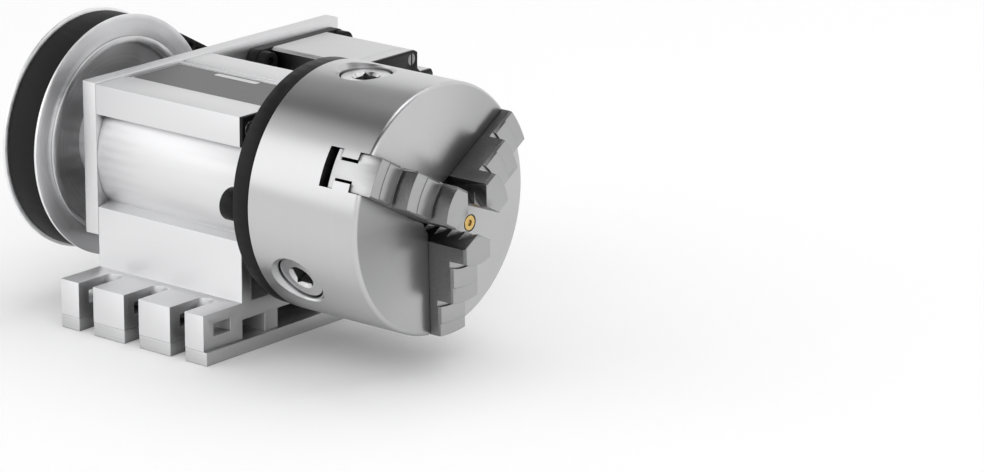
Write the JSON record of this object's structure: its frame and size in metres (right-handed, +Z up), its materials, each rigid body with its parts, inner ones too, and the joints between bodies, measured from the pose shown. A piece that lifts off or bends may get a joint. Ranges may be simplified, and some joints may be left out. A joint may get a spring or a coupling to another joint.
{
  "type": "dividing head",
  "caption": "Compact dividing head: slotted aluminium body, belt-driven hollow spindle and self-centring chuck with stepped jaws, beside a motor on an end plate.",
  "frame": {"origin": "on the base's underside, below the spindle axis, at the middle pair of bolt slots", "axes": "+X along the spindle towards the chuck, +Y towards the motor, +Z up"},
  "size_m": [0.2164, 0.1683, 0.115],
  "materials": {
    "clear_anodised": "satin, clear anodised extrusion",
    "plate_aluminium": "brushed plate",
    "black_anodised": "satin black anodised",
    "label": "plain dark plate",
    "black_screw": "black oxide",
    "bright_screw": "bright zinc plate",
    "bearing_steel": "ground",
    "spindle_steel": "turned",
    "chuck_steel": "ground, satin",
    "jaw_steel": "hardened and ground",
    "pinion_steel": "turned",
    "oiler_brass": "polished",
    "pulley_aluminium": "turned",
    "flange_steel": "bright sheet",
    "belt_rubber": "matt",
    "motor_black": "black paint",
    "stack_steel": "bare laminations"
  },
  "bodies": {
    "headstock": {"base_plate": "plate_aluminium", "base_screws": "black_screw", "body_extrusion": "clear_anodised", "label_plate": "label", "front_cover": "black_anodised", "front_cover_screws": "bright_screw", "end_plate": "plate_aluminium", "end_plate_screws": "black_screw", "front_bearing_outer": "bearing_steel", "rear_bearing_outer": "bearing_steel", "outer_sleeve": "pulley_aluminium", "drive_belt": "belt_rubber", "motor_flange": "motor_black", "motor_stack": "stack_steel", "motor_end_bell": "plate_aluminium", "motor_rear_cap": "motor_black", "motor_tie_screws": "bright_screw", "motor_mount_screws": "black_screw"},
    "spindle_group": {"spindle": "spindle_steel", "front_bearing_inner": "bearing_steel", "rear_bearing_inner": "bearing_steel", "inner_sleeve": "spindle_steel", "chuck_adapter": "black_anodised", "adapter_screws": "black_screw", "chuck_bolts": "bright_screw", "chuck_body": "chuck_steel", "pinion_pins": "pinion_steel", "chuck_back_cover": "chuck_steel", "oiler": "oiler_brass", "drive_pulley": "pulley_aluminium", "lock_nut": "black_screw", "pulley_flange_front": "flange_steel", "pulley_flange_rear": "flange_steel", "pulley_spacer": "pulley_aluminium"},
    "motor_rotor": {"motor_shaft": "spindle_steel", "motor_rotor_core": "stack_steel", "motor_pulley": "pulley_aluminium", "pulley_set_screw": "black_screw"},
    "scroll": {"scroll_plate": "jaw_steel"},
    "jaw_1": {"jaw_1": "jaw_steel"},
    "jaw_2": {"jaw_2": "jaw_steel"},
    "jaw_3": {"jaw_3": "jaw_steel"},
    "pinion_1": {"pinion_1": "pinion_steel", "pinion_gear_1": "pinion_steel"},
    "pinion_2": {"pinion_2": "pinion_steel", "pinion_gear_2": "pinion_steel"},
    "pinion_3": {"pinion_3": "pinion_steel", "pinion_gear_3": "pinion_steel"}
  },
  "joints": [
    {"name": "spindle_turn", "type": "hinge", "parent": "headstock", "child": "spindle_group", "pos_m": [0, 0, 0.065], "axis": [1, 0, 0], "continuous": true},
    {"name": "motor_turn", "type": "hinge", "parent": "headstock", "child": "motor_rotor", "pos_m": [0, 0.08296, 0.065], "axis": [1, 0, 0], "continuous": true},
    {"name": "scroll_turn", "type": "hinge", "parent": "spindle_group", "child": "scroll", "pos_m": [0, 0, 0.065], "axis": [1, 0, 0], "range_deg": [-360, 900]},
    {"name": "jaw_1_slide", "type": "slide", "parent": "spindle_group", "child": "jaw_1", "axis": [0, 0.848, 0.5299], "range_m": [-0.00501, 0.01251]},
    {"name": "jaw_2_slide", "type": "slide", "parent": "spindle_group", "child": "jaw_2", "axis": [0, -0.8829, 0.4695], "range_m": [-0.00501, 0.01251]},
    {"name": "jaw_3_slide", "type": "slide", "parent": "spindle_group", "child": "jaw_3", "axis": [0, 0.0349, -0.9994], "range_m": [-0.00501, 0.01251]},
    {"name": "pinion_1_turn", "type": "hinge", "parent": "spindle_group", "child": "pinion_1", "pos_m": [0.0763, 0, 0.065], "axis": [0, 0.8829, -0.4695], "range_deg": [-3241, 1297]},
    {"name": "pinion_2_turn", "type": "hinge", "parent": "spindle_group", "child": "pinion_2", "pos_m": [0.0763, 0, 0.065], "axis": [0, -0.0349, 0.9994], "range_deg": [-3241, 1297]},
    {"name": "pinion_3_turn", "type": "hinge", "parent": "spindle_group", "child": "pinion_3", "pos_m": [0.0763, 0, 0.065], "axis": [0, -0.848, -0.5299], "range_deg": [-3241, 1297]}
  ],
  "couplings": [
    {"joint": "motor_turn", "follows": "spindle_turn", "ratio": 6},
    {"joint": "jaw_1_slide", "follows": "scroll_turn", "m_per_rad": 0.00079577},
    {"joint": "jaw_2_slide", "follows": "scroll_turn", "m_per_rad": 0.00079577},
    {"joint": "jaw_3_slide", "follows": "scroll_turn", "m_per_rad": 0.00079577},
    {"joint": "pinion_1_turn", "follows": "scroll_turn", "ratio": -3.6},
    {"joint": "pinion_2_turn", "follows": "scroll_turn", "ratio": -3.6},
    {"joint": "pinion_3_turn", "follows": "scroll_turn", "ratio": -3.6}
  ]
}
